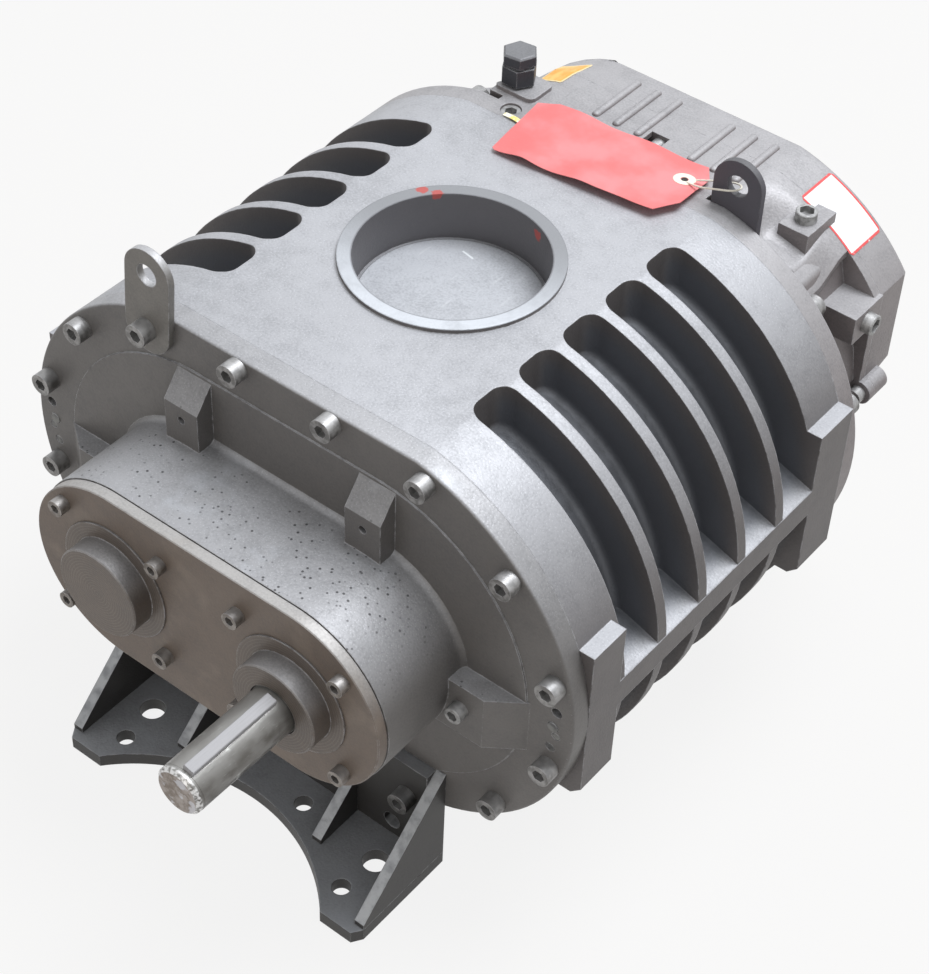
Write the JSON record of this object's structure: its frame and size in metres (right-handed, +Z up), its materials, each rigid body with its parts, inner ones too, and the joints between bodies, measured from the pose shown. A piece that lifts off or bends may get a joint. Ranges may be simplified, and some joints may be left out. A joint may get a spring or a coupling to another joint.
{
  "type": "rotary lobe vacuum pump",
  "caption": "Two-lobe rotary vacuum pump with a keyed drive shaft, a ribbed casing with a top inlet, a gear end and two plate feet.",
  "frame": {"origin": "middle of the pump in plan, on the surface that the feet stand on", "axes": "+Z up; +Y from the drive end back to the gear end, along the rotor axes; +X to the right seen from the drive end"},
  "size_m": [0.544, 0.714, 0.4831],
  "materials": {
    "cast_paint": "gun-metal enamel over rough cast iron, rubbed light along the edges",
    "screw_steel": "plain zinc-plated steel, dulled",
    "plug_steel": "plain steel, dulled",
    "foot_paint": "blue-grey enamel on steel plate",
    "foot_screw_steel": "painted over with the feet",
    "gasket_sheet": "compressed fibre sheet",
    "seal_rubber": "nitrile rubber lip seal",
    "bearing_steel": "ground bearing steel",
    "seal_iron": "machined iron",
    "shaft_steel": "ground bare steel with handling marks",
    "key_steel": "bare key steel",
    "rotor_iron": "machined ductile iron",
    "gear_steel": "hardened and ground steel",
    "lug_paint": "grey enamel on steel plate",
    "dark_lug_paint": "near-black enamel on steel plate",
    "vent_paint": "dark grey enamel",
    "disc_paint": "grey sheet steel",
    "tag_card": "coral red card, blank",
    "tag_twine": "cream cotton string"
  },
  "bodies": {
    "housing": {"casing": "cast_paint", "inlet_shipping_disc": "disc_paint", "drive_end_head": "cast_paint", "drive_head_screws": "screw_steel", "gear_head_screws": "screw_steel", "head_dowels": "plug_steel", "bearing_cover_gasket": "gasket_sheet", "bearing_cover_plate": "cast_paint", "bearing_cover_screws": "screw_steel", "blind_bearing_cap": "cast_paint", "shaft_seal_cap": "cast_paint", "drive_shaft_lip_seal": "seal_rubber", "bearing_outer_races": "bearing_steel", "rotor_chamber_seals": "seal_iron", "gear_end_head": "cast_paint", "gear_cover": "cast_paint", "gear_cover_screws": "screw_steel", "oil_fill_plug": "plug_steel", "gear_head_plugs": "plug_steel", "oil_drain_plugs": "plug_steel", "vent_breather": "vent_paint", "lifting_lug_front": "lug_paint", "lifting_lug_rear": "dark_lug_paint", "front_foot_base": "foot_paint", "front_foot_upright": "foot_paint", "front_foot_gussets": "foot_paint", "front_foot_screws": "foot_screw_steel", "rear_foot_base": "foot_paint", "rear_foot_upright": "foot_paint", "rear_foot_gussets": "foot_paint", "rear_foot_screws": "foot_screw_steel", "shipping_tag": "tag_card", "tag_string": "tag_twine"},
    "drive_rotor_set": {"drive_shaft": "shaft_steel", "drive_key": "key_steel", "drive_rotor": "rotor_iron", "drive_bearing_inner_races": "bearing_steel", "drive_bearing_rollers": "bearing_steel", "drive_timing_gear": "gear_steel", "drive_gear_lock_nut": "gear_steel"},
    "driven_rotor_set": {"driven_shaft": "shaft_steel", "driven_rotor": "rotor_iron", "driven_bearing_inner_races": "bearing_steel", "driven_bearing_rollers": "bearing_steel", "driven_timing_gear": "gear_steel", "driven_gear_lock_nut": "gear_steel"}
  },
  "joints": [
    {"name": "drive_shaft_turn", "type": "hinge", "parent": "housing", "child": "drive_rotor_set", "pos_m": [0.0889, 0, 0.2413], "axis": [0, 1, 0], "continuous": true},
    {"name": "driven_shaft_turn", "type": "hinge", "parent": "housing", "child": "driven_rotor_set", "pos_m": [-0.0889, 0, 0.2413], "axis": [0, 1, 0], "continuous": true}
  ],
  "couplings": [
    {"joint": "driven_shaft_turn", "follows": "drive_shaft_turn", "ratio": -1}
  ]
}
